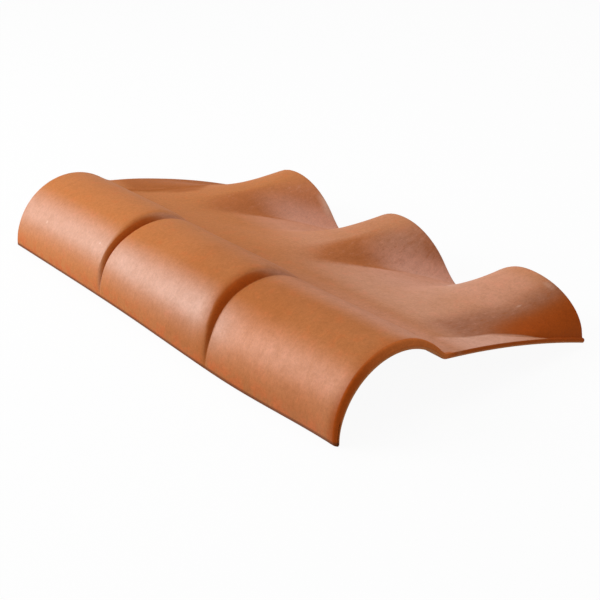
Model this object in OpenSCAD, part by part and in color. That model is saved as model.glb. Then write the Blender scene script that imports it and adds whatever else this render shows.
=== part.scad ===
// Clay ridge roof tile, moulded in one piece.
// A barrel of overlapping courses runs along Y. Its skirt slopes down to the right in cross rolls
// that grow out of the barrel's foot. Millimetres, +Z up, origin under the middle of the tile.

/* [Barrel] */
// Width of the barrel, from its left foot to where the skirt springs from it
barrel_width = 143.5; // [125:0.5:175]
// Height of the skirt's top where it springs from the barrel
spring_height = 57; // [46:0.5:64]
// Rise of the barrel's arch behind a nose, over the line between its feet
nose_rise = 60; // [55:0.5:64]
// Rise of the barrel's arch at a tail, over the line between its feet
tail_rise = 50.5; // [46:0.5:54]
// Rise of the barrel's arch at the open back end
end_rise = 53; // [50:0.5:60]
// Height by which the barrel's inside opens out towards the front end
front_flare = 3; // [0:0.5:5]
// Size of the hollow blend between the barrel and the skirt
fillet = 7; // [3:0.5:12]
// Distance by which the barrel's left foot bows out
foot_bow = 7.5; // [0:0.5:10]
// Share of the length, from the front, at which it bows out most
bow_place = 0.28; // [0.2:0.01:0.5]
// Power that gathers the bow there
bow_power = 2.5; // [1:0.1:4]

/* [Courses] */
// Length of one course, and of one roll
course_pitch = 220; // [200:1:280]
// Number of courses
course_count = 3; // [2:1:4]
// Length of a nose's sloping face at the left foot
nose_length = 7; // [5:1:30]
// Length of a nose's sloping face at the skirt, to which it spreads
nose_spread = 40; // [30:1:55]
// Power by which a nose's face steepens towards its foot
nose_power = 2.6; // [1.5:0.1:4]
// Radius of the rounding round the open front end
front_round = 4.5; // [2:0.5:6]

/* [Skirt] */
// Width of the skirt, from the barrel to the right edge
skirt_width = 220; // [180:1:260]
// Slope of the skirt at the barrel, as a share of its mean slope
skirt_bow = 0.56; // [0.3:0.01:1]
// Height by which the front lip stands over the hollows between the rolls, at the right edge
lip_lift = 5; // [0:0.5:10]
// Height of a roll's crest at the right edge
roll_height = 65.5; // [45:0.5:75]
// Power by which the front roll grows towards the right edge
front_growth = 2.2; // [1.5:0.1:3]
// Power by which the rolls behind it grow
back_growth = 1.8; // [1.5:0.1:3]
// Length from the front roll's foot to its crest, at the right edge
roll_front = 82.5; // [70:0.5:95]
// Length from a roll's crest down its back
roll_fall = 113; // [80:1:120]
// Power by which a roll's back leaves its crest, fuller when larger
fall_power = 2.3; // [1.8:0.1:3]
// Power by which the front roll's wall rises at the right edge, rounder when smaller
front_power = 0.5; // [0.5:0.05:1]
// The same for the walls of the rolls behind it
back_power = 0.7; // [0.5:0.05:1]
// Share of the skirt's width, from the right edge, over which the walls straighten
straight_share = 0.7; // [0.1:0.05:1]
// Power by which a straightened wall bends to its crest
straight_power = 1.5; // [1.2:0.1:2]
// Distance from a nose back to the roll's foot, at the barrel
foot_setback = 64.5; // [58:0.5:75]
// Distance from the front end back to the front roll's foot, at the right edge
front_end = 1.5; // [1.5:0.5:10]
// Share of the skirt's width at which the front roll's foot comes that far forward
front_reach = 0.75; // [0.6:0.01:1]
// Distance by which the feet of the rolls behind it reach in front of their noses there
back_reach = 6; // [0:0.5:10]
// Power that bends the front roll's foot line
front_bend = 1.4; // [1:0.1:2.5]
// Power by which the front roll's crest line straightens away from the barrel
crest_bend = 8; // [3:1:12]
// Power that bends the foot lines of the rolls behind it
back_bend = 2.9; // [1:0.1:3.5]
// Half the length of the hollow turn along a roll's foot
foot_turn = 12; // [4:0.5:16]

/* [Wall] */
// Thickness of the clay
wall = 6; // [4:0.5:8]
// Width of the raised rim along the skirt's back end
rim_width = 40; // [20:1:45]
// Height of the raised rim at the barrel
rim_height = 4; // [2:0.5:9]

/* [Hidden] */
clay_colour = [0.75, 0.47, 0.31];

tile_width = barrel_width + skirt_width;
tile_length = course_count * course_pitch;

// Numbers of steps in the mesh
barrel_steps = 16;
skirt_steps = 13;
nose_steps = 6;
round_steps = 3;
turn_steps = 2;
flat_steps = 3;
front_steps = 6;
back_steps = 5;
rim_steps = 4;
// Rows closer than this are one row
row_gap = 0.2;
// The turn at the front roll's foot is no shorter than this
least_turn = 0.5;
// Shares of even and of eased spacing of the columns round the barrel
even_share = 0.55;
// Power that gathers the skirt's columns at the barrel
gather = 1.5;

// Columns: places round the barrel from -1 to 1, then shares across the skirt from 0 to 1
barrel_places = [for (i = [0:barrel_steps])
    let (u = i / barrel_steps)
    2 * (even_share * u + (1 - even_share) * sin(90 * u)) - 1];
skirt_shares = [for (i = [1:skirt_steps]) pow(i / skirt_steps, gather)];
columns = len(barrel_places) + len(skirt_shares);

// Rows: distances from the front end along the barrel, gathered where the surface turns sharply
function eased(start, length, steps) =
    [for (i = [0:steps]) start + length * (1 - cos(90 * i / steps))];
function even(start, stop, steps) =
    [for (i = [1:steps - 1]) start + (stop - start) * i / steps];
function course_rows(start) = concat(
    start < row_gap ? eased(start, front_round, round_steps) : eased(start, nose_spread, nose_steps),
    even(start + front_round, start + foot_setback - foot_turn, flat_steps),
    even(start + foot_setback - foot_turn, start + foot_setback, turn_steps),
    eased(start + foot_setback, roll_front, front_steps),
    even(start + foot_setback + roll_front, start + course_pitch, back_steps));
function sorted(list) = len(list) < 2 ? list :
    let (pivot = list[floor(len(list) / 2)])
    concat(sorted([for (v = list) if (v < pivot) v]),
           [for (v = list) if (v == pivot) v],
           sorted([for (v = list) if (v > pivot) v]));
function spaced(list) =
    [for (i = [0:len(list) - 1]) if (i == len(list) - 1 || list[i + 1] - list[i] > row_gap) list[i]];
all_rows = concat(
    [for (i = [0:course_count - 1]) each course_rows(i * course_pitch)],
    eased(tile_length - rim_width, rim_width, rim_steps));
rows = spaced(sorted([for (v = all_rows) if (v <= tile_length) v]));

// A quarter circle's height at a share of its width
function quarter(share) = sqrt(1 - pow(1 - share, 2));
// Rise of the barrel's arch at place t round it: each course rises up its nose's face, which is longer
// towards the skirt, and sinks to its tail. The front end is rounded over instead.
function arch_rise(y, t) =
    let (i = min(floor((y + row_gap / 2) / course_pitch), course_count - 1),
         v = max(y - i * course_pitch, 0),
         tail = i == course_count - 1 ? end_rise : tail_rise,
         top = nose_rise - (nose_rise - tail) * pow(v / course_pitch, 2),
         nose = nose_length + (nose_spread - nose_length) * pow((t + 1) / 2, 2))
    i == 0
        ? top - front_round * (1 - quarter(min(v / front_round, 1)))
        : top - (top - tail_rise) * pow(1 - min(v / nose, 1), nose_power);
// How far the barrel's left foot lies out at distance y from the front end
function foot_out(y) =
    let (u = y / tile_length)
    foot_bow * pow(u / bow_place, bow_power)
        * pow(max(1 - u, 0) / (1 - bow_place), bow_power * (1 - bow_place) / bow_place);

// The arch over the line between the barrel's feet, as [centre, radius, half its opening angle, tilt]
function arch(rise, y) =
    let (span = barrel_width + foot_out(y),
         chord = norm([span, spring_height]),
         tilt = atan2(spring_height, span),
         angle = 2 * atan(2 * rise / chord),
         radius = chord / 2 / sin(angle),
         middle = [barrel_width - span / 2, spring_height / 2])
    [middle + (rise - radius) * [-sin(tilt), cos(tilt)], radius, angle, tilt];
// A point of the arch, at an angle from its top
function on_arch(arch, angle) =
    arch[0] + arch[1] * [sin(angle - arch[3]), cos(angle - arch[3])];

// Height of the skirt between its rolls at share s of its width, running on under the barrel
function valley(s) =
    wall + (spring_height - wall) * (1 - skirt_bow * s - (1 - skirt_bow) * s * max(s, 0));
// Where the front roll's foot lies behind its nose, and where the feet of the rolls behind it lie
function front_foot(s) =
    front_end + (foot_setback - front_end) * pow(1 - min(max(s, 0) / front_reach, 1), front_bend);
function back_foot(s) = foot_setback - (foot_setback + back_reach) * pow(max(s, 0), back_bend);
function foot(i, s) = i == 0 ? front_foot(s) : back_foot(s);
// Where a roll's crest lies: soon straight along the front roll, after the front foot line on the others
function crest(i, s) =
    let (front_line = front_end + (foot_setback - front_end) * pow(1 - max(s, 0), crest_bend))
    roll_front + (i == 0 ? front_line : front_foot(s));
// Half the length of the hollow turn at a roll's foot, which tightens along the front roll
function turn(i, s) = i == 0 ? max(foot_turn * pow(1 - s, 3), least_turn) : foot_turn;
// Nought before a foot and the distance past it after, by way of a parabola
function ramp(d, turn) = d < -turn ? 0 : d < turn ? pow(d + turn, 2) / (4 * turn) : d;
// Share of a roll's height up its wall, which is round at the right edge and straighter inwards
function wall_share(climb, i, s) =
    let (round = pow(1 - pow(1 - climb, 2), i == 0 ? front_power : back_power),
         straight = 1 - pow(1 - climb, straight_power))
    round + (straight - round) * min((1 - s) / straight_share, 1);
// Height of the skirt: through the turn at a roll's foot, up its wall to the crest, and down its back.
// An inset carries the feet back and the surface down, for the skirt's underside.
function skirt(y, s, inset) =
    let (next_foot = back_foot(s) + inset - foot_turn,
         i = min(max(floor((y - next_foot) / course_pitch), 0), course_count - 1),
         m = y - i * course_pitch,
         low = foot(i, s) + inset,
         top = crest(i, s),
         climb = min(ramp(m - low, turn(i, s)) / (top - low), 1),
         fall = min((m - top) / min(roll_fall, course_pitch + next_foot - top), 1),
         before_crest = m < top,
         lift = i == 0 && before_crest ? lip_lift * max(s, 0) : 0,
         growth = i == 0 ? front_growth : back_growth,
         height = max((roll_height - wall) * pow(max(s, 0), growth) - lift, 0),
         share = before_crest ? wall_share(climb, i, s) : pow(1 - pow(fall, fall_power), 2))
    valley(s) + lift + height * share - inset;
function rim(row, s) =
    let (e = min(max(row - tile_length + rim_width, 0) / rim_width, 1))
    rim_height * (1 - pow(max(s, 0), 2)) * quarter(e);

// A row runs straight over the barrel, then bends along the roll's foot line on the skirt
function row_y(row, s, inset) =
    lookup(row, concat([[0, 0]],
        [for (i = [0:course_count - 1]) each [
            [i * course_pitch + foot_setback, i * course_pitch + foot(i, s) + inset],
            [i * course_pitch + foot_setback + roll_front, i * course_pitch + crest(i, s)]]],
        [[tile_length, tile_length]]));

// The greater of two heights, blended where they lie close
function blended(a, b) = max(a, b) + pow(max(fillet - abs(a - b), 0), 2) / (4 * fillet);

// Points of one row of the outer face
function outer_row(row) =
    let (last = arch(arch_rise(row, 1), row),
         slope = tan(last[2] - last[3]))
    concat(
        [for (t = barrel_places)
            let (bow = arch(arch_rise(row, t), row),
                 p = on_arch(bow, t * bow[2]),
                 s = (p[0] - barrel_width) / skirt_width)
            [p[0], row, t < 0 ? p[1] : blended(p[1], skirt(row, s, 0) + rim(row, s))]],
        [for (s = skirt_shares)
            let (y = row_y(row, s, 0))
            [barrel_width + s * skirt_width, y,
             blended(spring_height - slope * s * skirt_width, skirt(y, s, 0) + rim(row, s))]]);
// Points of one row of the inner face, one wall inside the tail's arch and the skirt.
// It opens out towards the front end.
function inner_row(row) =
    let (across = row_y(row, 0, wall),
         flare = front_flare * max(1 - across / course_pitch, 0),
         tail = arch(tail_rise + flare, across),
         bow = [tail[0], tail[1] - wall, tail[2], tail[3]],
         start = bow[3] - acos(-bow[0][1] / bow[1]),
         stop = bow[3] + acos((spring_height - wall - bow[0][1]) / bow[1]),
         spring = on_arch(bow, stop),
         first = (spring[0] - barrel_width) / skirt_width,
         slope = tan(stop - bow[3]))
    concat(
        [for (t = barrel_places)
            let (p = on_arch(bow, start + (stop - start) * (t + 1) / 2),
                 s = (p[0] - barrel_width) / skirt_width)
            [p[0], across, t < 0 ? p[1] : blended(p[1], skirt(across, s, wall))]],
        [for (share = skirt_shares)
            let (s = first + (1 - first) * share,
                 y = row_y(row, s, wall))
            [barrel_width + s * skirt_width, y,
             blended(spring[1] - slope * (s - first) * skirt_width, skirt(y, s, wall))]]);

// Two triangles across four corners, in order
function pair(a, b, c, d) = [[a, b, c], [a, c, d]];

module ridge_tile() {
    last_row = len(rows) - 1;
    last_column = columns - 1;
    under = len(rows) * columns;
    points = concat(
        [for (row = rows) each outer_row(row)],
        [for (row = rows) each inner_row(row)]);
    top_faces = [for (i = [0:last_row - 1], j = [0:last_column - 1])
        let (a = i * columns + j, b = a + columns)
        each pair(a, b, b + 1, a + 1)];
    under_faces = [for (i = [0:last_row - 1], j = [0:last_column - 1])
        let (a = under + i * columns + j, b = a + columns)
        each pair(a, a + 1, b + 1, b)];
    side_faces = [for (i = [0:last_row - 1], j = [0, last_column])
        let (a = i * columns + j, b = a + columns)
        each j == 0 ? pair(a, under + a, under + b, b) : pair(a, b, under + b, under + a)];
    end_faces = [for (j = [0:last_column - 1], i = [0, last_row])
        let (a = i * columns + j)
        each i == 0 ? pair(a, a + 1, under + a + 1, under + a)
                    : pair(a, under + a, under + a + 1, a + 1)];
    left = min([for (p = points) p[0]]);
    color(clay_colour)
    translate([-(left + tile_width) / 2, -tile_length / 2, 0])
    polyhedron(points, concat(top_faces, under_faces, side_faces, end_faces));
}

ridge_tile();
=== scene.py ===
"""A clay ridge roof tile, moulded and fired in one piece.

A barrel of three lapped courses runs along Y. A skirt of three cross rolls slopes down from it along X."""
import math
from types import SimpleNamespace

import bpy
import numpy as np
from mathutils import Matrix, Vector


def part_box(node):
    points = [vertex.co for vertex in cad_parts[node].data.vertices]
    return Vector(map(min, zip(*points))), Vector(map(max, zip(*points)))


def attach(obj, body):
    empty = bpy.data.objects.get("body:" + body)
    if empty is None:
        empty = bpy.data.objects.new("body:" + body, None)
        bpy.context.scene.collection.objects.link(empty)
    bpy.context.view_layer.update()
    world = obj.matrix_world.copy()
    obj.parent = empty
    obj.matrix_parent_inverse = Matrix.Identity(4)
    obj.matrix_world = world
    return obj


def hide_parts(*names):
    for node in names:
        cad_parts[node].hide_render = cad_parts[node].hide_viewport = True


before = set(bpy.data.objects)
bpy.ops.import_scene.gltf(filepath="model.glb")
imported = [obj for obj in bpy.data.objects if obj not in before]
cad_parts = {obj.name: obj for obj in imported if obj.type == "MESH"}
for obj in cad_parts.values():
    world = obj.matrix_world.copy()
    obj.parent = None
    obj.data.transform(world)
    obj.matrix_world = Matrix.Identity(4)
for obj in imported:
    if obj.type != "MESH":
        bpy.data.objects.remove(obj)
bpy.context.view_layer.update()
low_corner, high_corner = [np.array(corner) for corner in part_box("ridge_tile")]

# Sizes of the tile, in metres. Places round the barrel run from -1 at its left foot to 1 at the skirt.
BARREL_WIDTH = 0.1435   # from the left foot to where the skirt springs
SPRING_HEIGHT = 0.057   # top of the skirt where it springs from the barrel
NOSE_RISE = 0.0599      # rise of the arch behind a nose
TAIL_RISE = 0.0505      # rise of the arch at a tail
END_RISE = 0.053        # rise of the arch at the open back end
FRONT_FLARE = 0.003     # the inside opens out by this towards the front end
FILLET = 0.007          # hollow blend between barrel and skirt
FOOT_BOW = 0.0073       # bow of the left foot
BOW_PLACE = 0.28        # share of the length at which it bows out most
BOW_POWER = 2.5         # power that gathers the bow there
COURSE_PITCH = 0.220
COURSE_COUNT = 3
NOSE_LENGTH = 0.007     # sloping face of a nose at the left foot
NOSE_SPREAD = 0.040     # the same at the skirt
NOSE_POWER = 2.6        # power by which a nose's face steepens towards its foot
FRONT_LIFT = 0.0008     # lift of the front course's tail, a small edge before the next nose
BACK_LIFT = 0.0050      # the same for the course behind it
LIFT_LENGTH = 0.070     # length over which a tail lifts
LIFT_ROUND = 0.0030     # length of the rounding at its edge
LIFT_FALL = 0.35        # share of the lift that the rounding takes away again
LIFT_LOSS = 0.5         # share of the lift that is lost over the crown
LIFT_PLACES = (-0.4, 0.3)  # places between which it is lost
LAP_BENDS = (0.0095, -0.005)  # by so much the front and the back lap bend forwards down the left flank
BEND_PLACES = ((-0.05, -0.9), (0.0, -0.6))  # places between which they bend
FRONT_ROUND = 0.0045    # rounding round the open front end
SKIRT_WIDTH = 0.220
SKIRT_BOW = 0.56        # slope of the skirt at the barrel, as a share of its mean slope
LIP_LIFT = 0.005        # front lip over the hollows, at the right edge
ROLL_HEIGHT = 0.0655    # crest of a roll at the right edge
FRONT_GROWTH = 2.2      # power by which the front roll grows towards the right edge
BACK_GROWTH = 1.8       # the same for the rolls behind it
ROLL_FRONT = 0.0825     # from the front roll's foot to its crest
ROLL_FALL = 0.113       # from a roll's crest down its back
FALL_POWER = 2.3        # power by which a roll's back leaves its crest
FRONT_POWER = 0.5       # power by which the front roll's wall rises at the right edge
BACK_POWER = 0.7        # the same for the rolls behind it
STRAIGHT_SHARE = 0.7    # share of the skirt's width over which the walls straighten
STRAIGHT_POWER = 1.5    # power by which a straightened wall bends to its crest
FOOT_SETBACK = 0.0645   # from a nose back to the roll's foot, at the barrel
FRONT_END = 0.0015      # from the front end back to the front roll's foot, at the right edge
FRONT_REACH = 0.75      # share of the skirt's width at which that foot comes so far forward
BACK_REACH = 0.006      # so far in front of their noses the other rolls' feet reach, at the right edge
FRONT_BEND = 1.4        # power that bends the front roll's foot line
BACK_BEND = 2.9         # the same for the rolls behind it
CREST_BEND = 8          # power by which the front roll's crest line straightens away from the barrel
FOOT_TURN = 0.012       # half the length of the hollow turn along a roll's foot
TURN_POWER = 3          # power by which the front roll's turn shortens towards the right edge
LEAST_TURN = 0.0005     # that turn is no shorter than this
WALL = 0.006
RIM_WIDTH = 0.040       # raised rim along the skirt's back end
RIM_HEIGHT = 0.004
TILE_WIDTH = BARREL_WIDTH + SKIRT_WIDTH
TILE_LENGTH = high_corner[1] - low_corner[1]

# Finish of the mesh
EDGE = 0.0016           # rounding along the tile's borders
EDGE_STEPS = 5
FRONT_FADE = (0.3, 1.0)  # places between which the front's rounding tightens
FOOT_ZONE = 0.030       # height over which the barrel's foot makes room for its rounding
BARREL_COLUMNS = 72
SKIRT_COLUMNS = 76
GATHER = 1.25           # power that gathers the skirt's columns at the barrel
ROW_STEP = 0.0062
TURN_ROWS = 18          # rows over each sharp turn
ROW_GAP = 0.0003        # rows closer than this are one row
WELD = 1e-6             # points closer than this are one point, as at the corners of the border
TINY = 1e-12            # keeps a normal's length from nought

# Camera
PHOTO_PIXELS = 600
SENSOR = 36.0           # millimetres
FOCAL_PIXELS = 1312.7   # focal length in pixels of the photograph
HEADING = -0.6728       # radians anticlockwise from +Y, seen from above
PITCH = 0.4243          # radians down
ROLL = 0.0094
DISTANCE = 1.5656
AIM = np.array([0.1757, 0.2777, 0.0093])  # point at the middle of the image, from the front left corner

# Floor and light
FLOOR_SIZE = 30.0
FLOOR_GREY = 0.8
FLOOR_WHITE = 0.94      # share of the floor that shows as plain white, the rest takes the shadow
WORLD_LIGHT = 0.44      # even light from all round
SOFTBOXES = {           # place, width and length, and brightness of the face
    "left_softbox": ((-1.5, 1.3, 1.0), (1.2, 1.4), 7.4),
    "top_softbox": ((0.5, 0.3, 2.2), (1.6, 1.6), 2.0)}


def smooth(value, low, high):
    """0 below low, 1 above high, and a cubic between. It falls where low is the greater."""
    share = np.clip((value - low) / (high - low), 0, 1)
    return share ** 2 * (3 - 2 * share)


def mixed(a, b, share):
    """a at a share of 0, b at a share of 1, and linear between."""
    return a + (b - a) * share


def course_of(y):
    """The course that y lies in, and its distance from that course's nose."""
    course = np.minimum(np.floor((y + ROW_GAP / 2) / COURSE_PITCH), COURSE_COUNT - 1)
    return course, np.maximum(y - COURSE_PITCH * course, 0)


def lap_share(y, t):
    """Share of a nose's sloping face that lies behind y: 1 at the nose's foot, 0 past the face."""
    course, v = course_of(y)
    nose = mixed(NOSE_LENGTH, NOSE_SPREAD, ((t + 1) / 2) ** 2)
    return np.where(course == 0, 0, 1 - np.minimum(v / nose, 1))


def arch_rise(y, t):
    """Rise of the arch at place t: up each nose's power curve, longer towards the skirt, then a taper.

    Tails lift a little to a rounded edge before the next nose."""
    course, v = course_of(y)
    tail = np.where(course == COURSE_COUNT - 1, END_RISE, TAIL_RISE)
    top = NOSE_RISE - (NOSE_RISE - tail) * (v / COURSE_PITCH) ** 2
    before = v - COURSE_PITCH
    lift = smooth(before, -LIFT_LENGTH, -LIFT_ROUND) - LIFT_FALL * smooth(before, -LIFT_ROUND, 0)
    lift = lift * np.select([course == 0, course == 1], [FRONT_LIFT, BACK_LIFT], 0)
    lift = lift * (1 - LIFT_LOSS * smooth(t, *LIFT_PLACES))
    return top + lift - (top - TAIL_RISE) * lap_share(y, t) ** NOSE_POWER


def lap_bend(row, t):
    """How far rows bend forwards down the left flank: most at a lap, fading half a course either way."""
    bend = 0
    for i, (forwards, places) in enumerate(zip(LAP_BENDS, BEND_PLACES)):
        away = np.abs(row - COURSE_PITCH * (i + 1))
        bend = bend + forwards * smooth(t, *places) * (1 - smooth(away, 0, COURSE_PITCH / 2))
    return bend


def foot_out(y):
    """How far the left foot bows out: a product of powers of the distances from both ends."""
    u = np.clip(y / TILE_LENGTH, 0, 1)
    far_power = BOW_POWER * (1 - BOW_PLACE) / BOW_PLACE
    return FOOT_BOW * (u / BOW_PLACE) ** BOW_POWER * ((1 - u) / (1 - BOW_PLACE)) ** far_power


def arch(rise, y):
    """Circle through both feet of the barrel with a given rise: centre, radius, half angle and tilt."""
    span = BARREL_WIDTH + foot_out(y)
    chord = np.hypot(span, SPRING_HEIGHT)
    tilt = np.arctan2(SPRING_HEIGHT, span)
    angle = 2 * np.arctan(2 * rise / chord)
    radius = chord / 2 / np.sin(angle)
    x = BARREL_WIDTH - span / 2 - (rise - radius) * np.sin(tilt)
    z = SPRING_HEIGHT / 2 + (rise - radius) * np.cos(tilt)
    return x, z, radius, angle, tilt


def valley(s):
    """Height of the skirt between its rolls: a parabola over its share s of the width.

    It runs on straight under the barrel."""
    return WALL + (SPRING_HEIGHT - WALL) * (1 - SKIRT_BOW * s - (1 - SKIRT_BOW) * s * np.maximum(s, 0))


def front_foot(s):
    """Foot line of the front roll, from its setback at the barrel down a power curve to the right edge."""
    back = 1 - np.clip(s / FRONT_REACH, 0, 1)
    return mixed(FRONT_END, FOOT_SETBACK, back ** FRONT_BEND)


def back_foot(s):
    """Foot line of the rolls behind it, which leaves the barrel squarely and then runs forwards."""
    return FOOT_SETBACK - (FOOT_SETBACK + BACK_REACH) * np.maximum(s, 0) ** BACK_BEND


def crest_line(index, s):
    """Distance of a roll's crest behind its course.

    The front roll's is soon straight, by a power curve. The others' is like the front roll's foot line."""
    front = mixed(FRONT_END, FOOT_SETBACK, (1 - np.clip(s, 0, 1)) ** CREST_BEND)
    return np.where(index == 0, front, front_foot(s)) + ROLL_FRONT


def ramp(d, turn):
    """Nought before a foot and the distance past it after, by way of a parabola two turns long."""
    return np.where(d < turn, np.maximum(d + turn, 0) ** 2 / (4 * turn), d)


def roll_place(y, s, inset):
    """The roll that y lies on, how far up its front, how far down its back, and whether before its crest."""
    next_foot = back_foot(s) + inset - FOOT_TURN
    index = np.clip(np.floor((y - next_foot) / COURSE_PITCH), 0, COURSE_COUNT - 1)
    crest = crest_line(index, s)
    m = y - index * COURSE_PITCH
    foot = np.where(index == 0, front_foot(s), back_foot(s)) + inset
    tight = np.maximum(FOOT_TURN * (1 - s) ** TURN_POWER, LEAST_TURN)
    climb = np.clip(ramp(m - foot, np.where(index == 0, tight, FOOT_TURN)) / (crest - foot), 0, 1)
    fall = np.clip((m - crest) / np.minimum(ROLL_FALL, COURSE_PITCH + next_foot - crest), 0, 1)
    return index, climb, fall, m < crest


def wall_share(climb, index, s):
    """Share of a roll's height up its wall: a power of a parabola at the right edge, straighter inwards."""
    rounded = (1 - (1 - climb) ** 2) ** np.where(index == 0, FRONT_POWER, BACK_POWER)
    straight = 1 - (1 - climb) ** STRAIGHT_POWER
    return mixed(rounded, straight, np.minimum((1 - s) / STRAIGHT_SHARE, 1))


def skirt(y, s, inset):
    """Height of the skirt: through the turn at a roll's foot, up its wall to the crest, and down its back.

    An inset carries the feet back and the surface down, for the underside."""
    index, climb, fall, before_crest = roll_place(y, s, inset)
    lift = np.where((index == 0) & before_crest, LIP_LIFT * np.maximum(s, 0), 0)
    growth = np.where(index == 0, FRONT_GROWTH, BACK_GROWTH)
    height = np.maximum((ROLL_HEIGHT - WALL) * np.maximum(s, 0) ** growth - lift, 0)
    down = (1 - fall ** FALL_POWER) ** 2
    return valley(s) + lift + height * np.where(before_crest, wall_share(climb, index, s), down) - inset


def rim(row, s):
    """Height of the back rim: a quarter ellipse over its width, fading out across the skirt."""
    e = np.clip((row - TILE_LENGTH + RIM_WIDTH) / RIM_WIDTH, 0, 1)
    return RIM_HEIGHT * (1 - np.maximum(s, 0) ** 2) * np.sqrt(1 - (1 - e) ** 2)


def row_y(row, s, inset):
    """Rows run straight over the barrel and bend on the skirt: linear between the rolls' feet and crests."""
    keys, places = [0.0], [0 * s]
    for i in range(COURSE_COUNT):
        start = i * COURSE_PITCH
        foot = front_foot(s) if i == 0 else back_foot(s)
        keys += [start + FOOT_SETBACK, start + FOOT_SETBACK + ROLL_FRONT]
        places += [start + foot + inset, start + crest_line(i, s)]
    keys.append(TILE_LENGTH)
    places.append(0 * s + TILE_LENGTH)
    y = np.zeros(np.broadcast(row, s).shape)
    for a, b, here, there in zip(keys[:-1], keys[1:], places[:-1], places[1:]):
        share = (row - a) / (b - a)
        y = np.where((share >= 0) & (share <= 1), mixed(here, there, share), y)
    return y


def blended(a, b):
    """The greater of two heights, with a parabola of the fillet's size where they lie close."""
    return np.maximum(a, b) + np.maximum(FILLET - np.abs(a - b), 0) ** 2 / (4 * FILLET)


def face(rows, places, shares, inset):
    """One face of the wall as a grid of points: an arc round the barrel, then the skirt's height function.

    The outer face, with no inset, has the noses and the rim. The inner one is one wall inside the tails."""
    row = rows[:, None]
    t, share = places[None, :], shares[None, :]
    y = row_y(row, np.zeros((1, 1)), inset)
    flared = TAIL_RISE + FRONT_FLARE * np.maximum(1 - y / COURSE_PITCH, 0) + 0 * t
    x0, z0, radius, angle, tilt = arch(arch_rise(row, t) if inset == 0 else flared, y)
    radius = radius - inset
    if inset == 0:
        start, stop = -angle, angle
    else:
        start = tilt - np.arccos(-z0 / radius)
        stop = tilt + np.arccos((SPRING_HEIGHT - inset - z0) / radius)
    turn = mixed(start, stop, (t + 1) / 2)
    x = x0 + radius * np.sin(turn - tilt)
    z = z0 + radius * np.cos(turn - tilt)
    spring = z[:, -1:]
    s = (x - BARREL_WIDTH) / SKIRT_WIDTH
    extra = rim(row, s) if inset == 0 else 0
    z = np.where(t < 0, z, blended(z, skirt(y, s, inset) + extra))
    first = s[:, -1:]
    s2 = mixed(first, 1, share)
    y2 = row_y(row, s2, inset)
    x2 = BARREL_WIDTH + s2 * SKIRT_WIDTH
    extra = rim(row, s2) if inset == 0 else 0
    tangent = spring - np.tan(stop[:, -1:] - tilt) * (s2 - first) * SKIRT_WIDTH
    z2 = blended(tangent, skirt(y2, s2, inset) + extra)
    y = np.broadcast_to(y, x.shape) - lap_bend(row, t)
    return np.stack([np.hstack([x, x2]), np.hstack([y, y2]), np.hstack([z, z2])], axis=-1)


def tile_rows():
    """Distances of the rows from the front end: even, with cosine steps over noses, feet and rim."""
    ease = 1 - np.cos(np.linspace(0, np.pi / 2, TURN_ROWS))
    rows = [np.arange(0, TILE_LENGTH, ROW_STEP), TILE_LENGTH - RIM_WIDTH + RIM_WIDTH * ease]
    for i in range(COURSE_COUNT):
        start = i * COURSE_PITCH
        rows += [start + NOSE_SPREAD * ease, start - FOOT_TURN / 2 * ease,
                 start + FOOT_SETBACK + ROLL_FRONT * ease, start + FOOT_SETBACK - FOOT_TURN * ease]
    rows = np.unique(np.clip(np.concatenate(rows), 0, TILE_LENGTH))
    return rows[np.append(np.diff(rows) > ROW_GAP, True)]


def with_caps(values):
    """Repeats the first and last value for the rounded borders, with each one's way out and turn.

    The turn is -1 at the wall's middle, 0 where the border's flat ends, and 1, a quarter circle on, at the
    face."""
    turn = np.concatenate([[-1], np.arange(EDGE_STEPS) / EDGE_STEPS])
    ones = np.ones(len(turn))
    return (np.concatenate([values[0] * ones, values, values[-1] * ones]),
            np.concatenate([-ones, 0 * values, ones]),
            np.concatenate([turn, 1 + 0 * values, turn[::-1]]))


def out_of(turn):
    """Share of the rounding's radius by which a border's turn stands out: a cosine."""
    return np.cos(np.pi / 2 * np.maximum(turn, 0))


def kept_of(turn, radius, half):
    """Share of half the wall that is left at a turn: nought in the middle, then the round corner."""
    return np.where(turn < 0, 0, 1 - radius / half * (1 - np.sin(np.pi / 2 * np.maximum(turn, 0))))


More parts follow.
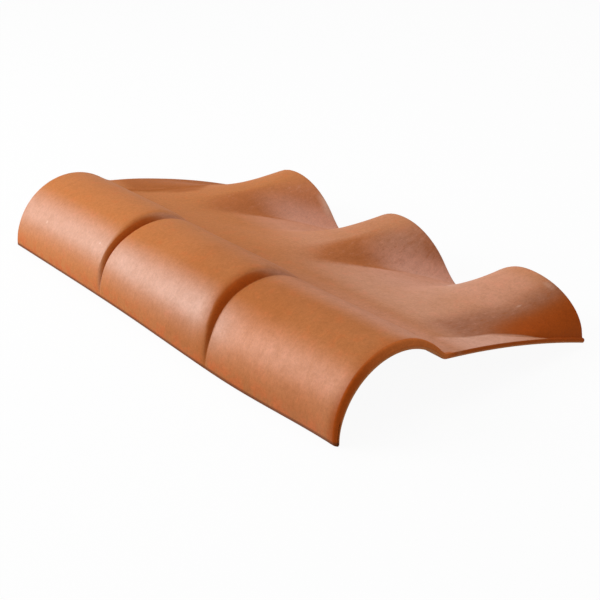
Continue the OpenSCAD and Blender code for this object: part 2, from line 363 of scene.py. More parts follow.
def tile_shell():
    """Outer and inner points of the wall on one grid, with each row's distance and each column's place.

    At a border both faces turn over a round corner to the wall's middle."""
    rows, row_way, row_turn = with_caps(tile_rows())
    u = np.linspace(-1, 1, BARREL_COLUMNS)
    s = np.linspace(0, 1, SKIRT_COLUMNS + 1)[1:] ** GATHER
    columns, column_way, column_turn = with_caps(np.concatenate([u, 2 + s]))
    places, shares = columns[columns <= 1], columns[columns > 1] - 2
    outer, inner = face(rows, places, shares, 0), face(rows, places, shares, WALL)
    middle, half = (outer + inner) / 2, (outer - inner) / 2
    thickness = np.linalg.norm(half, axis=-1)
    front_round = mixed(FRONT_ROUND, EDGE, smooth(columns, *FRONT_FADE))
    row_turn, row_way = row_turn[:, None], row_way[:, None]
    grids = []
    for sign, front in ((1, front_round), (-1, EDGE + 0 * columns)):
        radius = np.where(row_way < 0, front, EDGE)
        kept = kept_of(row_turn, radius, thickness) * kept_of(column_turn, EDGE, WALL / 2)
        x, y, z = np.moveaxis(middle + sign * half * kept[..., None], -1, 0)
        side = np.clip((x - BARREL_WIDTH) / SKIRT_WIDTH, 0, 1)
        x = x - EDGE * side + EDGE * side * np.where(column_way > 0, out_of(column_turn), 0)
        y = front + y * (1 - (front + EDGE) / TILE_LENGTH) + radius * row_way * out_of(row_turn)
        near_foot = np.where(columns < 0, 1, 0) * np.clip(1 - z / FOOT_ZONE, 0, 1)
        z = z + EDGE * near_foot - EDGE * np.where(column_way < 0, out_of(column_turn), 0)
        grids.append(np.stack([x, y, z], axis=-1))
    return grids[0], grids[1], rows[:, None], np.minimum(columns, 1)


def grid_normals(grid):
    """Unit normals of a grid of points, as the cross product of its differences along columns and rows."""
    normal = np.cross(np.gradient(grid, axis=1), np.gradient(grid, axis=0))
    return normal / np.maximum(np.linalg.norm(normal, axis=-1, keepdims=True), TINY)


# Where the finish changes. A pair holds the limits of one smooth change. A turn is the normal's part that
# way, a part is a share of the skirt's width, and a reach is a distance from the front end.
ON_SKIRT = (0.02, 0.16)         # part over which the barrel's finish gives way to the skirt's
OUT_BACK = (0.05, 0.45)         # part over which the skirt turns pink, in part painted sheen, on the courses behind
OUT_FRONT = (0.03, 0.28)        # the same on the front course
OUT_REACH = (0.5 * COURSE_PITCH, 1.5 * COURSE_PITCH)  # reach from the one to the other
FRONT_COURSE = (0.7 * COURSE_PITCH, 1.05 * COURSE_PITCH)  # reach over which the front course's finish ends
FAR_LAP = (1.5 * COURSE_PITCH, 1.9 * COURSE_PITCH)  # reach over which the back lap's finish begins
FORWARD = (0.18, 0.44)          # distance from the back end over which the skirt's front finish begins

# Laps and front end of the barrel
SHADE_TURN = (0.08, 0.70)       # turn to the front at which the clay is painted dark, as shade
LAP_FLANK = (0.48, 0.34)        # share of the painted shade left on the flank of the front and the back lap
LAP_CROWN = (-0.85, -0.1)       # places over which it grows to the full
LAP_END = (0.05, 0.6)           # places over which a lap's right end takes painted grey shade and pale painted sheen
LAP_END_LOSS = 0.8              # share of the painted shade that is lost there
LAP_SHADE = 0.032               # length behind a lap over which painted shade darkens the clay softly
LAP_SHADE_POWER = 1.5
LAP_SHADE_SHARE = 0.75
FAR_SHADE = (-0.6, 0.1)         # places over which the back lap's soft shade begins
FAR_LOSS = 0.2                  # share of the painted shade that the back lap lacks
END_FACE = (0.6 * FRONT_ROUND, 1.3 * FRONT_ROUND)  # reach over which the painted shade on the front end's face ends
END_FACE_PART = (0.0, 0.08)     # part over which it ends
END_SHADE = 0.020               # length behind the front end over which painted shade darkens the clay softly
END_SHADE_PART = (0.0, 0.05)    # part over which that ends
END_SHADE_SHARE = 0.8
CROWN_SHADE_LOSS = 0.4          # share of that shade that is lost over the crown
CROWN_SHADE = (-0.8, -0.2)      # places over which it is lost
JOIN_SHADE_LOSS = 0.8           # share of it that is lost where barrel and skirt join
LIT_CROWN = (-0.4, 0.4)         # places over which the front end's face turns to its painted lit tone
JOIN_RISE = (0.072, 0.104)      # distance from the left foot over which the join takes a pale painted sheen
JOIN_FALL = (0.155, 0.178)      # distance over which its own tone comes back
JOIN_FADE = (-0.05, 0.40)       # reach over which that fades

# Front roll
SHADE_AHEAD = 0.014             # so far ahead of the roll's foot its shade begins at the barrel
AHEAD_PART = (0.2, 0.45)        # part over which it draws back to the foot
WALL_BEGIN = (0.002, 0.006)     # distance past the foot over which the wall's tone begins
BEGIN_PART = (0.50, 0.72)       # part over which that distance shrinks
BEGIN_LOSS = 0.9                # share of it that is lost
SHADED_CLIMB = (0.45, 0.85)     # share of the climb over which the grey painted shade ends
SHADED_FURTHER = 0.25           # so much further up it ends on the roll's inner part
INNER_PART = (0.70, 0.45)       # part over which that inner part begins
SHADED_PART = (0.10, 0.32)      # part over which the shade begins
FOOT_SHADE_CLIMB = (0.05, 0.72)    # share of the climb over which the painted shade at the foot ends
FOOT_SHADE_PART = (0.22, 0.72)     # part over which it begins
LIP_TURN = (0.3, 0.7)           # turn to the front at which the lip's edge is painted dark, as shade
LIP_REACH = (0.003, 0.006)      # reach over which that edge ends
LIP_SHARE = 0.85
LIP_PART = (0.48, 0.74)         # part over which the painted sheen on the lip's top ends
CORNER_REACH = (0.004, 0.007)   # reach over which the painted shade at the lip's right end ends
CORNER_PART = (0.9 * FRONT_REACH, FRONT_REACH)  # part over which it begins
CREST_BEGIN = (0.50, 0.70)      # part over which the painted sheen on the crest begins
CREST_END = (0.88, 0.98)        # part over which it ends
CREST_FRONT = (0.045, 0.070)    # reach over which it begins
CREST_BACK = (0.10, 0.15)       # reach over which it ends

# Rolls behind, hollows and rim
BEHIND = (FOOT_SETBACK + ROLL_FRONT, COURSE_PITCH)  # reach over which their finish begins
GREY_SHADE_TURN = (0.10, 0.50)       # turn to the front at which their walls and the laps' right ends take painted shade
ROOT_TURN = (0.05, 0.30)        # turn at which the walls' inner part is painted brown, as shade
RIGHT_PART = (0.62, 0.86)       # part over which the brown painted shade gives way to the purple one
LOW_PART = (0.56, 0.82)         # the same low on the walls, which take a pale painted reflection
UP_HEIGHT = (0.008, 0.030)      # height over the hollows at which a wall's upper part begins
LOW_HEIGHT = (0.010, 0.036)     # height at which its lower part ends
HOLLOW_HEIGHT = (0.003, 0.022)  # height at which a hollow's painted sheen ends
HOLLOW_FRONT = (0.5 * COURSE_PITCH, 0.8 * COURSE_PITCH)  # reach over which it begins
HOLLOW_BACK = (2 * COURSE_PITCH, 2.6 * COURSE_PITCH)  # reach over which it ends
HOLLOW_PART = (0.30, 0.65)      # part over which it begins
RIM_SPREAD = 0.13               # slant of the rim tone's border, metres forwards to a skirt's width
RIM_BACK_PART = (0.30, 0.70)    # part over which that border runs back to the rim
RIM_SOFT = (-0.006, 0.002)      # distance past its border over which it begins
RIM_PART = (0.0, 0.1)           # part over which it begins
FOOT_HEIGHT = (0.028, 0.001)    # height over which the left foot's tone begins

# Painted sheen's share in each place
LIP_SHEEN = 0.60
CREST_SHEEN = 0.35
HOLLOW_SHEEN = 0.65
JOIN_SHEEN = 0.60
LAP_SHEEN = 0.50
LAP_END_SHADE = 0.65                 # share of the grey painted shade at a lap's right end

# Sheen of the satin slip
FLANK_TURN = (0.40, 0.78)       # turn to the left at which the flank's sheen rises
LOW_TURN = (0.83, 1.02)         # turn at which it falls again
LOW_DROP = 0.06                 # by so much further the sheen reaches down at the front end
BARREL_GLOSS = 0.07
FLANK_GLOSS = 0.85
FRONT_FLANK_LOSS = 0.42         # share of the flank's sheen that the front course lacks
BACK_GLOSS = 0.05               # sheen of the skirt at the back
FRONT_GLOSS = 0.72              # the same at the front
ROLL_LOSS = 0.45                # share of that which the rolls lack
ROLL_HEIGHTS = (0.004, 0.040)   # height over the hollows over which it is lost
DULL_TURN = (0.05, 0.30)        # turn to the front at which the sheen is lost
RIGHT_DULL_LOSS = 0.5           # share of that loss which the walls behind lack on their right part
LAP_DULL = 0.9                  # share of the sheen that the front lap's soft shade takes away


def spots_of(outer, row, place):
    """Where each point of the outer face lies, how it is turned, and its share in parts of the finish."""
    x, y, z = np.moveaxis(outer, -1, 0)
    normal = grid_normals(outer)
    side = np.clip((x - BARREL_WIDTH) / SKIRT_WIDTH, 0, 1)
    near = 1 - smooth(y, *OUT_REACH)
    course, from_nose = course_of(row)
    return SimpleNamespace(
        x=x, y=y, z=z, place=place, side=side, over=z - valley(side), left=-normal[..., 0],
        front=-normal[..., 1], course=course, from_nose=from_nose, in_lap=lap_share(row, place) > 0,
        on_skirt=smooth(side, *ON_SKIRT), front_course=1 - smooth(y, *FRONT_COURSE), far=smooth(y, *FAR_LAP),
        out=smooth(side, mixed(OUT_BACK[0], OUT_FRONT[0], near), mixed(OUT_BACK[1], OUT_FRONT[1], near)),
        forward=smooth(TILE_LENGTH - y, *FORWARD), right=smooth(side, *RIGHT_PART))


def lap_tones(at):
    """Painted shade: the laps' faces turned to the front, less on the flank. Shade: a power curve behind
    them.

    Grey painted shade and pale painted sheen: the laps' right ends."""
    least = mixed(*LAP_FLANK, at.far)
    crown = np.where(at.course > 0, mixed(least, 1, smooth(at.place, *LAP_CROWN)), 1)
    lap_end = smooth(at.place, *LAP_END) * np.where(at.in_lap, 1, 0)
    shade = np.where(at.course > 0, np.maximum(1 - at.from_nose / LAP_SHADE, 0), 0) ** LAP_SHADE_POWER
    shade = shade * (1 - at.far * (1 - smooth(at.place, *FAR_SHADE))) * (1 - at.on_skirt) * (1 - lap_end)
    burnt = smooth(at.front, *SHADE_TURN) * (1 - at.on_skirt) * crown * (1 - LAP_END_LOSS * lap_end)
    burnt = np.maximum(burnt, LAP_SHADE_SHARE * shade * crown) * (1 - FAR_LOSS * at.far)
    return burnt, shade, smooth(at.front, *GREY_SHADE_TURN) * lap_end


def end_tone(at):
    """Painted shade at the barrel's front end: on its face, and linear behind it, weaker over the crown."""
    dark = (1 - smooth(at.y, *END_FACE)) * (1 - smooth(at.side, *END_FACE_PART))
    shade = np.maximum(1 - at.y / END_SHADE, 0) * (1 - CROWN_SHADE_LOSS * smooth(at.place, *CROWN_SHADE))
    shade = shade * (1 - smooth(at.side, *END_SHADE_PART)) * (1 - JOIN_SHADE_LOSS * smooth(at.x, *JOIN_RISE))
    return np.maximum(dark, END_SHADE_SHARE * shade)


def front_roll_tones(at):
    """Shaded: painted shade on the front roll's wall. Foot and lip shade: painted shade at its foot and the
    lip's edge.

    Lip: painted sheen on the top of that lip. Corner: painted shade at its right end."""
    foot = front_foot(at.side)
    climb = (at.y - foot) / (crest_line(0, at.side) - foot)
    front_part = np.where(at.y < COURSE_PITCH / 2, 1, 0) * at.on_skirt
    past = at.y - foot + SHADE_AHEAD * (1 - smooth(at.side, *AHEAD_PART))
    begun = smooth(past / (1 - BEGIN_LOSS * smooth(at.side, *BEGIN_PART)), *WALL_BEGIN)
    further = SHADED_FURTHER * smooth(at.side, *INNER_PART)
    shaded = 1 - smooth(climb, SHADED_CLIMB[0], SHADED_CLIMB[1] + further)
    shaded = front_part * begun * shaded * smooth(at.side, *SHADED_PART)
    foot_and_lip_shade = front_part * begun * (1 - smooth(climb, *FOOT_SHADE_CLIMB)) * smooth(at.side, *FOOT_SHADE_PART)
    lip_edge = smooth(at.front, *LIP_TURN) * (1 - smooth(at.y, *LIP_REACH)) * at.on_skirt
    lip = front_part * (1 - begun) * (1 - lip_edge) * (1 - smooth(at.side, *LIP_PART))
    corner = (1 - smooth(at.y, *CORNER_REACH)) * smooth(at.side, *CORNER_PART)
    return shaded, np.maximum(foot_and_lip_shade, LIP_SHARE * lip_edge), lip, corner


def painted_sheen_tone(at, lip, lap_end_shade_and_sheen):
    """Pale painted sheen: on the front lip and crest, in hollows, at the laps' right ends and at the join.
    """
    crest = smooth(at.side, *CREST_BEGIN) * (1 - smooth(at.side, *CREST_END))
    crest = crest * smooth(at.y, *CREST_FRONT) * (1 - smooth(at.y, *CREST_BACK))
    hollow = at.out * (1 - smooth(at.over, *HOLLOW_HEIGHT)) * smooth(at.side, *HOLLOW_PART)
    hollow = hollow * smooth(at.y, *HOLLOW_FRONT) * (1 - smooth(at.y, *HOLLOW_BACK))
    join = smooth(at.x, *JOIN_RISE) * (1 - smooth(at.x, *JOIN_FALL)) * (1 - smooth(at.y, *JOIN_FADE))
    return np.max([LIP_SHEEN * lip, CREST_SHEEN * crest, HOLLOW_SHEEN * hollow, LAP_SHEEN * lap_end_shade_and_sheen,
                   JOIN_SHEEN * join], axis=0)


def tone_masks(outer, row, place):
    """Masks of the finish over the outer face.

    Painted shade: the dark laps, front end and front roll's foot. Grey painted shade: that roll's wall and
    the laps' right ends. Root and wall up: painted shade on the inner and upper parts of the walls of the
    rolls behind. Wall low: painted reflection on their lower part. Painted highlight: pale, on the flank of
    the courses behind. Warm painted highlight: the same on the front course. Lit end: painted light on the
    crown of the front end. Rim: the strip along the skirt's back end, with its slant. Foot: the barrel's
    left foot, with a painted shadow line along its edge. Gloss: the flank's sheen, and the skirt's, less on
    its
    rolls. Painted sheen: the pale places. Skirt share, skirt out and forward: how far over the skirt and to
    the front."""
    at = spots_of(outer, row, place)
    lap_painted_shade, lap_shade, lap_end_shade_and_sheen = lap_tones(at)
    end = end_tone(at)
    shaded, foot_and_lip_shade, lip, corner = front_roll_tones(at)
    # Painted shade of the laps, and at the front roll's foot and lip edge
    burnt = np.maximum(lap_painted_shade, foot_and_lip_shade)

    behind = at.on_skirt * smooth(at.y, *BEHIND)
    wall = smooth(at.front, *GREY_SHADE_TURN) * behind
    root = smooth(at.front, *ROOT_TURN) * behind * (1 - at.right)

    lower = LOW_DROP * (1 - smooth(at.y, 0, COURSE_PITCH))
    flank = smooth(at.left - lower / 2, *FLANK_TURN) * (1 - smooth(at.left - lower, *LOW_TURN))
    bare_flank = flank * (1 - at.on_skirt)
    rolls = 1 - ROLL_LOSS * smooth(at.over, *ROLL_HEIGHTS)
    barrel_gloss = BARREL_GLOSS + FLANK_GLOSS * flank * (1 - FRONT_FLANK_LOSS * at.front_course)
    gloss = mixed(barrel_gloss, mixed(BACK_GLOSS, FRONT_GLOSS * rolls, at.forward), at.out)
    dull = smooth(at.front, *DULL_TURN) * (1 - RIGHT_DULL_LOSS * behind * at.right)
    dull = np.max([dull, shaded, root, LAP_DULL * lap_shade * (1 - at.far), end, corner], axis=0)

    slant = RIM_SPREAD * at.side * (1 - smooth(at.side, *RIM_BACK_PART))
    past_rim = at.y - (TILE_LENGTH - RIM_WIDTH - slant)
    return {"burnt": np.max([burnt, corner, end], axis=0),
            "dusty": np.maximum(shaded, LAP_END_SHADE * lap_end_shade_and_sheen),
            "bloom": painted_sheen_tone(at, lip, lap_end_shade_and_sheen),
            "film": bare_flank * (1 - at.front_course) * (1 - np.maximum(burnt, lap_shade)),
            "flush": bare_flank * at.front_course * (1 - np.maximum(burnt, end)),
            "lit_end": end * np.where(at.course == 0, smooth(place, *LIT_CROWN), 0),
            "root": root,
            "wall_up": wall * smooth(at.over, *UP_HEIGHT) * at.right,
            "wall_low": wall * (1 - smooth(at.over, *LOW_HEIGHT)) * smooth(at.side, *LOW_PART),
            "gloss": gloss * (1 - dull),
            "skirt_share": at.side,
            "skirt_out": at.out,
            "forward": at.forward,
            "foot": smooth(at.z, *FOOT_HEIGHT) * np.where(place < 0, 1, 0),
            "rim": smooth(past_rim, *RIM_SOFT) * smooth(at.side, *RIM_PART)}


def run_along(grid):
    """Length along each row of the grid, from the left foot: the sum of the steps from column to column."""
    steps = np.linalg.norm(np.diff(grid, axis=1), axis=-1)
    return np.concatenate([np.zeros((len(grid), 1)), np.cumsum(steps, axis=1)], axis=1)


def make_tile():
    """The tile as one closed mesh, with its pattern map and tone masks, and the names of those masks.

    Both grids share their border points, and the corners' points that lie in one place are welded."""
    outer, inner, row, place = tile_shell()
    rows, columns = outer.shape[:2]
    within = (rows - 2, columns - 2)
    top = np.arange(rows * columns).reshape(rows, columns)
    under = top.copy()
    under[1:-1, 1:-1] = top.size + np.arange(math.prod(within)).reshape(within)

    def both(a, b):
        return np.concatenate([a.reshape(top.size, -1), b[1:-1, 1:-1].reshape(math.prod(within), -1)])

    points = both(outer, inner)
    points += [high_corner[0] - TILE_WIDTH, low_corner[1], 0]
    first, welded = np.unique(np.round(points / WELD), axis=0, return_index=True, return_inverse=True)[1:]
    up = np.stack([top[:-1, :-1], top[:-1, 1:], top[1:, 1:], top[1:, :-1]], axis=-1).reshape(-1, 4)
    down = np.stack([under[:-1, :-1], under[1:, :-1], under[1:, 1:], under[:-1, 1:]], axis=-1).reshape(-1, 4)
    faces = welded.ravel()[np.concatenate([up, down])]
    faces = faces[(np.diff(np.sort(faces, axis=1), axis=1) > 0).all(axis=1)]
    mesh = bpy.data.meshes.new("ridge_tile_clay")
    mesh.from_pydata(points[first], [], faces)
    mesh.polygons.foreach_set("use_smooth", np.ones(len(faces), dtype=bool))

    run = run_along(outer)
    pattern = both(np.stack([run, outer[..., 1]], axis=-1), np.stack([-run, inner[..., 1]], axis=-1))
    layer = mesh.uv_layers.new(name="run_and_length")
    layer.data.foreach_set("uv", pattern[first][faces.ravel()].ravel())

    masks = tone_masks(outer, row, place)
    for name, mask in masks.items():
        layer = mesh.attributes.new(name, "FLOAT", "POINT")
        layer.data.foreach_set("value", both(mask, 0 * mask)[first].ravel().astype(np.float32))
    mesh.update()
    tile = bpy.data.objects.new("ridge_tile_clay", mesh)
    bpy.context.scene.collection.objects.link(tile)
    return tile, list(masks)


class Shade:
    """A socket of a shader, so that its maths is written as an expression."""

    def __init__(self, tree, socket=None):
        self.tree, self.socket = tree, socket

    def node(self, kind, settings=None, sockets=None, out=0):
        """Adds a node: its settings first, then its sockets' values or links."""
        node = self.tree.nodes.new(kind)
        for name, value in (settings or {}).items():
            setattr(node, name, value)
        for name, value in (sockets or {}).items():
            if isinstance(value, Shade):
                self.tree.links.new(value.socket, node.inputs[name])
            else:
                node.inputs[name].default_value = value
        return Shade(self.tree, node.outputs[out] if len(node.outputs) else None)

    def maths(self, operation, a, b):
        return self.node("ShaderNodeMath", {"operation": operation}, {0: a, 1: b})

    def __add__(self, other):
        return self.maths("ADD", self, other)

    __radd__ = __add__

    def __sub__(self, other):
        return self.maths("SUBTRACT", self, other)

    def __rsub__(self, other):
        return self.maths("SUBTRACT", other, self)

    def __mul__(self, other):
        return self.maths("MULTIPLY", self, other)

    __rmul__ = __mul__

    def between(self, low, high):
        """0 below low, 1 above high, smooth between."""
        return self.node("ShaderNodeMapRange", {"interpolation_type": "SMOOTHSTEP"},
                         {"Value": self, "From Min": low, "From Max": high})

    def blend(self, a, b):
        """Colour a where this is 0, colour b where it is 1."""
        colour = [c if isinstance(c, Shade) else (*c, 1) for c in (a, b)]
        return self.node("ShaderNodeMix", {"data_type": "RGBA"},
                         {0: self, 6: colour[0], 7: colour[1]}, out=2)

    def vector(self, operation, other):
        """Vector maths between these coordinates and a vector."""
        return self.node("ShaderNodeVectorMath", {"operation": operation}, {0: self, 1: other})

    def noise(self, detail, rough, cells):
        """Noise over these coordinates, with its own count of cells along each."""
        return self.node("ShaderNodeTexNoise", {}, {"Vector": self.vector("MULTIPLY", cells),
                                                    "Scale": 1, "Detail": detail, "Roughness": rough})


def new_material(name):
    """A material without nodes, and its tree as a shade."""
    material = bpy.data.materials.new(name)
    material.use_nodes = True
    material.node_tree.nodes.clear()
    return material, Shade(material.node_tree)


# Tones of the clay, linear
CLAY = (0.420, 0.143, 0.043)
CLAY_DEEP = (0.400, 0.128, 0.034)
CLAY_WARM = (0.500, 0.175, 0.052)
# Pink of the skirt, in part painted sheen
CLAY_PINK = (0.500, 0.200, 0.090)
# Painted shade on faces turned to the front
CLAY_PAINTED_SHADE = (0.380, 0.068, 0.006)
# Brown: painted shade, and the tone of dark scuffs
CLAY_BROWN = (0.320, 0.085, 0.018)
# Painted light on the crown of the front end's face
CLAY_END = (0.530, 0.137, 0.028)
# Painted highlights on the flank: pale, and warm on the front course
CLAY_PAINTED_HIGHLIGHT = (0.500, 0.240, 0.152)
CLAY_WARM_HIGHLIGHT = (0.570, 0.205, 0.085)
# Grey painted shade on the front roll's wall and the laps' right ends
CLAY_GREY_SHADE = (0.345, 0.138, 0.078)
# Painted shade on the walls of the rolls behind: brown inner part, purple upper part
CLAY_ROOT = (0.435, 0.140, 0.046)
CLAY_WALL = (0.420, 0.178, 0.102)
CLAY_FAR_WALL = (0.465, 0.162, 0.070)
# Pale painted sheen and reflection, and the tone of pale scuffs
CLAY_SHEEN_AND_SCUFF = (0.620, 0.295, 0.200)
CLAY_RED = (0.480, 0.115, 0.028)
CLAY_RIM = (0.375, 0.110, 0.026)
# Painted shadow line along the left foot's edge
CLAY_DARK = (0.140, 0.045, 0.016)
CLAY_PALE = (0.660, 0.400, 0.290)

# Noise of the clay: its detail, its roughness, and its cells a metre along each coordinate
PLACE_NOISE = {
    "cloud": (2, 0.5, (11, 11, 11)),
    "mottle": (4, 0.6, (75, 75, 75)),
    "speckle": (3, 0.65, (260, 260, 260)),
    "grain": (2, 0.6, (650, 650, 650))}
RUN_NOISE = {                   # along a row's run, and along the tile
    "ridges": (2, 0.5, (22, 190, 1)),
    "fine_ridges": (3, 0.6, (40, 560, 1)),
    "roll_streaks": (3, 0.6, (330, 22, 1)),
    "scuffs": (5, 0.7, (70, 200, 1))}
NOISE_MIDDLE = 0.5

# By how much each pattern moves the streaks, the tone, the sheen and the height of the surface
ROUND_SWING = {"ridges": 0.5, "fine_ridges": 0.5}
ROLL_SWING = {"roll_streaks": 0.4}
TONE_SWING = {"streaks": 0.14, "speckle": 0.36, "grain": 0.36, "mottle": 0.22}
SHEEN_SWING = {"streaks": 0.4, "speckle": 0.7, "mottle": 0.9}
RELIEF_SWING = {"streaks": 0.25, "speckle": 0.3, "grain": 0.3, "mottle": 0.8}
RELIEF_DEPTH = 0.0005
RELIEF_STRENGTH = 0.35
RIM_SHEEN_LOSS = 0.8
CLAY_ROUGHNESS = 0.6
CLAY_SPECULAR = 0.04
SATIN_ROUGHNESS = 0.44

# Limits and shares of the layers of tone
STREAK_PART = (0.02, 0.25)      # part of the skirt over which the streaks turn to run along the rolls
CLOUD_LIMITS = (0.38, 0.66)     # values of the clouds over which the clay deepens
RED_LIMITS = (0.50, 0.72)       # values of the mottle over which it reddens
FOOT_RED_LIMITS = (0.40, 0.58)  # the same at the left foot
FOOT_DARK_LIMITS = (0.92, 0.99)  # values of the foot's mask over which its edge takes a painted shadow line
EDGE_PART = (0.86, 1.0)         # part of the skirt over which the walls behind end in brown painted shade
DARK_SCUFFS = (0.50, 0.66)      # values of the scuffs over which dark ones begin
PALE_SCUFFS = (0.34, 0.46)      # values over which pale ones end
BROWN_SHADE_LIMITS = (0.0, 0.8)         # values of the painted shade's mask over which the clay turns brown
DEEP_SHADE_LIMITS = (0.2, 1.0)          # values over which that painted shade turns deep
PINK_SHARES = (0.15, 0.75)      # pink of the skirt, in part painted sheen, at the back and at the front
PAINTED_SHEEN_SHARES = (0.75, 1.25)     # painted sheen at a mottle of 0 and of 1
FAR_SCUFFS = 0.2                # share of the dark scuffs that is left at the back
LOW_SCUFFS = 0.4                # share of the scuffs on the lower part of the walls behind
ROOT_SCUFFS = 0.6               # the same on their inner part

# Small pale marks: place in the tile's frame, half sizes and strength
PALE_MARKS = [((-0.1654, 0.2649, 0.0495), (0.0028, 0.0028, 0.0028), 0.55),
              ((-0.1612, 0.1381, 0.0600), (0.0026, 0.0026, 0.0026), 0.60),
              ((0.1262, -0.2816, 0.0493), (0.0070, 0.0022, 0.0060), 0.35),
              ((0.1780, -0.2776, 0.0595), (0.0060, 0.0120, 0.0080), 0.25),
              ((0.1840, 0.1260, 0.0360), (0.0100, 0.0300, 0.0240), 0.75)]
MARK_EDGE = (0.5, 1.4)          # shares of the half size over which a mark ends
MARK_RAGGED = 0.7               # by so much the mottle moves that edge


def swung(level, patterns, swing):
    """A level that each pattern moves up and down about its middle, by its own swing."""
    for name, weight in swing.items():
        level = level + weight * (patterns[name] - NOISE_MIDDLE)
    return level


def clay_patterns(place, run, skirt_mask):
    """Noise of the clay by name, and its streaks: round the barrel, and along the rolls on the skirt."""
    patterns = {name: place.noise(*settings) for name, settings in PLACE_NOISE.items()}
    patterns.update({name: run.noise(*settings) for name, settings in RUN_NOISE.items()})
    round_streaks = swung(NOISE_MIDDLE, patterns, ROUND_SWING)
    roll_streaks = swung(NOISE_MIDDLE, patterns, ROLL_SWING)
    patterns["streaks"] = mixed(round_streaks, roll_streaks, skirt_mask)
    return patterns


def clay_material(mask_names):
    """Terracotta with a satin slip: mottled tone, brushed streaks, painted shade on front faces, pinkish
    skirt.

    The skirt's pink is in part painted sheen, and the flank has painted highlights.
    """
    material, shade = new_material("terracotta_slip")
    place = shade.node("ShaderNodeTexCoord", out="Object")
    run = shade.node("ShaderNodeUVMap", {"uv_map": "run_and_length"})
    at = SimpleNamespace(**{name: shade.node("ShaderNodeAttribute", {"attribute_name": name}, out="Fac")
                            for name in mask_names})
    patterns = clay_patterns(place, run, at.skirt_share.between(*STREAK_PART))
    mottle, scuffs = patterns["mottle"], patterns["scuffs"]
    scuffed = at.dusty + at.wall_up + LOW_SCUFFS * at.wall_low + ROOT_SCUFFS * at.root

    # Share, strength and tone of each layer, which lies over those before it
    layers = [
        (1 - at.forward, 0.7, CLAY_WARM),
        # Pink of the skirt, in part painted sheen
        (at.skirt_out * mixed(*PINK_SHARES, at.forward), 1, CLAY_PINK),
        (mottle.between(*RED_LIMITS), 0.35, CLAY_RED),
        (at.foot * mottle.between(*FOOT_RED_LIMITS), 0.9, CLAY_RED),
        # Painted highlights on the flank
        (at.film, 0.7, CLAY_PAINTED_HIGHLIGHT),
        (at.flush, 0.55, CLAY_WARM_HIGHLIGHT),
        # Pale painted sheen
        (at.bloom * mixed(*PAINTED_SHEEN_SHARES, mottle), 1, CLAY_SHEEN_AND_SCUFF),
        (at.rim, 1, CLAY_RIM),
        # Painted shade on the walls of the rolls behind, and painted reflection low on them
        (at.root, 1, CLAY_ROOT),
        (at.wall_up, 0.9, at.forward.blend(CLAY_FAR_WALL, CLAY_WALL)),
        (at.wall_low, 1, CLAY_SHEEN_AND_SCUFF),
        (at.forward * at.wall_up * at.skirt_share.between(*EDGE_PART), 0.5, CLAY_BROWN),
        # Grey painted shade
        (at.dusty, 0.9, CLAY_GREY_SHADE),
        (scuffed * mixed(FAR_SCUFFS, 1, at.forward) * scuffs.between(*DARK_SCUFFS), 0.45, CLAY_BROWN),
        (scuffed * (1 - scuffs.between(*PALE_SCUFFS)), 0.25, CLAY_SHEEN_AND_SCUFF),
        # Painted shade on faces turned to the front, brown and then deep
        (at.burnt.between(*BROWN_SHADE_LIMITS), 1, CLAY_BROWN),
        (at.burnt.between(*DEEP_SHADE_LIMITS), 1, CLAY_PAINTED_SHADE),
        # Painted light on the crown of the front end
        (at.lit_end, 1, CLAY_END),
        # Painted shadow line along the left foot's edge
        (at.foot.between(*FOOT_DARK_LIMITS), 0.85, CLAY_DARK)]
    for centre, half, strength in PALE_MARKS:
        away = place.vector("SUBTRACT", centre).vector("DIVIDE", half)
        away = shade.node("ShaderNodeVectorMath", {"operation": "LENGTH"}, {0: away}, out="Value")
        near = 1 - (away + MARK_RAGGED * mottle).between(*MARK_EDGE)
        layers.append((near, strength, CLAY_PALE))
    tone = patterns["cloud"].between(*CLOUD_LIMITS).blend(CLAY, CLAY_DEEP)
    for share, strength, colour in layers:
        tone = (share * strength).blend(tone, colour)
    tone = shade.node("ShaderNodeVectorMath", {"operation": "SCALE"},
                      {0: tone, "Scale": swung(1, patterns, TONE_SWING)})

    sheen = at.gloss * swung(1, patterns, SHEEN_SWING) * (1 - RIM_SHEEN_LOSS * at.rim)
    bump = shade.node("ShaderNodeBump", {}, {
        "Strength": RELIEF_STRENGTH, "Distance": RELIEF_DEPTH, "Height": swung(1, patterns, RELIEF_SWING)})
    clay = shade.node("ShaderNodeBsdfPrincipled", {}, {
        "Base Color": tone, "Roughness": CLAY_ROUGHNESS, "Coat Weight": sheen,
        "Coat Roughness": SATIN_ROUGHNESS, "Specular IOR Level": CLAY_SPECULAR, "Normal": bump})
    shade.node("ShaderNodeOutputMaterial", {}, {"Surface": clay})
    return material


def seen_white(shade):
    """1 for rays from the camera and for mirrored or refracted ones, which see the white background."""
    ray = shade.node("ShaderNodeLightPath").socket.node
    camera, glossy, through = [Shade(shade.tree, ray.outputs[name])
                               for name in ("Is Camera Ray", "Is Glossy Ray", "Is Transmission Ray")]
    return shade.maths("MAXIMUM", camera, shade.maths("MAXIMUM", glossy, through))


def make_floor():
    """A wide pale floor that is white to the camera and keeps a faint shadow."""
    material, shade = new_material("white_floor")
    paint = shade.node("ShaderNodeBsdfDiffuse", {}, {"Color": (FLOOR_GREY, FLOOR_GREY, FLOOR_GREY, 1)})
    glow = shade.node("ShaderNodeEmission", {}, {"Color": (1, 1, 1, 1), "Strength": 1.0})
    both = shade.node("ShaderNodeMixShader", {}, {0: seen_white(shade) * FLOOR_WHITE, 1: paint, 2: glow})
    shade.node("ShaderNodeOutputMaterial", {}, {"Surface": both})
    corner = np.array([[-1, -1], [1, -1], [1, 1], [-1, 1]]) * FLOOR_SIZE / 2
    mesh = bpy.data.meshes.new("studio_floor")
    mesh.from_pydata(np.column_stack([corner, np.zeros(4)]), [], [(0, 1, 2, 3)])
    floor = bpy.data.objects.new("studio_floor", mesh)
    floor.data.materials.append(material)
    bpy.context.scene.collection.objects.link(floor)
    return floor


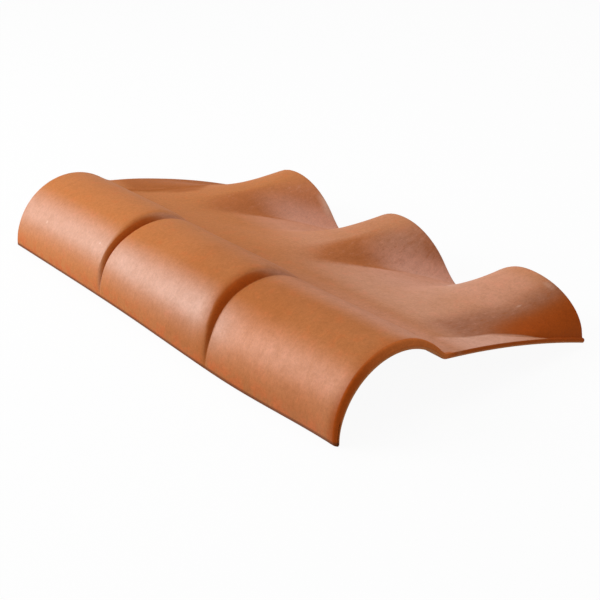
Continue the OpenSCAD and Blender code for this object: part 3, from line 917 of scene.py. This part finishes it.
def make_world(strength):
    """Even light from all round, seen as white."""
    world = bpy.data.worlds.new("studio")
    world.use_nodes = True
    world.node_tree.nodes.clear()
    shade = Shade(world.node_tree)
    level = strength + (1 - strength) * seen_white(shade)
    light = shade.node("ShaderNodeBackground", {}, {"Color": (1, 1, 1, 1), "Strength": level})
    shade.node("ShaderNodeOutputWorld", {}, {"Surface": light})
    bpy.context.scene.world = world


def turn_and_place(thing, right, up, back, place):
    """Sets an object's axes and place."""
    matrix = np.eye(4)
    matrix[:3] = np.column_stack([right, up, back, place])
    thing.matrix_world = Matrix(matrix)


def add_softbox(name, place, size, radiance):
    """A rectangular lamp at a place, turned to the tile's middle, with the given brightness of its face."""
    lamp = bpy.data.lights.new(name, "AREA")
    lamp.shape = "RECTANGLE"
    lamp.size, lamp.size_y = size
    lamp.energy = radiance * math.pi * size[0] * size[1]
    box = bpy.data.objects.new(name, lamp)
    back = np.array(place) / np.linalg.norm(place)
    right = np.cross([0, 0, 1], back)
    right /= np.linalg.norm(right)
    turn_and_place(box, right, np.cross(back, right), back, np.array(place))
    bpy.context.scene.collection.objects.link(box)


def make_camera():
    """The photograph's viewpoint: heading, pitch and roll about a point on the tile, at a distance."""
    right = np.array([math.cos(HEADING), math.sin(HEADING), 0])
    level = np.array([-math.sin(HEADING), math.cos(HEADING), 0])
    ahead = level * math.cos(PITCH) - np.array([0, 0, math.sin(PITCH)])
    up = np.cross(right, ahead)
    right, up = (right * math.cos(ROLL) + up * math.sin(ROLL), up * math.cos(ROLL) - right * math.sin(ROLL))
    lens = bpy.data.cameras.new("photo_camera")
    lens.sensor_width = SENSOR
    lens.lens = FOCAL_PIXELS / PHOTO_PIXELS * SENSOR
    camera = bpy.data.objects.new("photo_camera", lens)
    corner = np.array([high_corner[0] - TILE_WIDTH, low_corner[1], 0])
    turn_and_place(camera, right, up, -ahead, corner + AIM - DISTANCE * ahead)
    bpy.context.scene.collection.objects.link(camera)
    bpy.context.scene.camera = camera


tile, tile_masks = make_tile()
tile.data.materials.append(clay_material(tile_masks))
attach(tile, "root")
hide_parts("ridge_tile")
make_floor()
make_world(WORLD_LIGHT)
for name, lamp in SOFTBOXES.items():
    add_softbox(name, *lamp)
make_camera()
bpy.context.scene.view_settings.view_transform = "Standard"
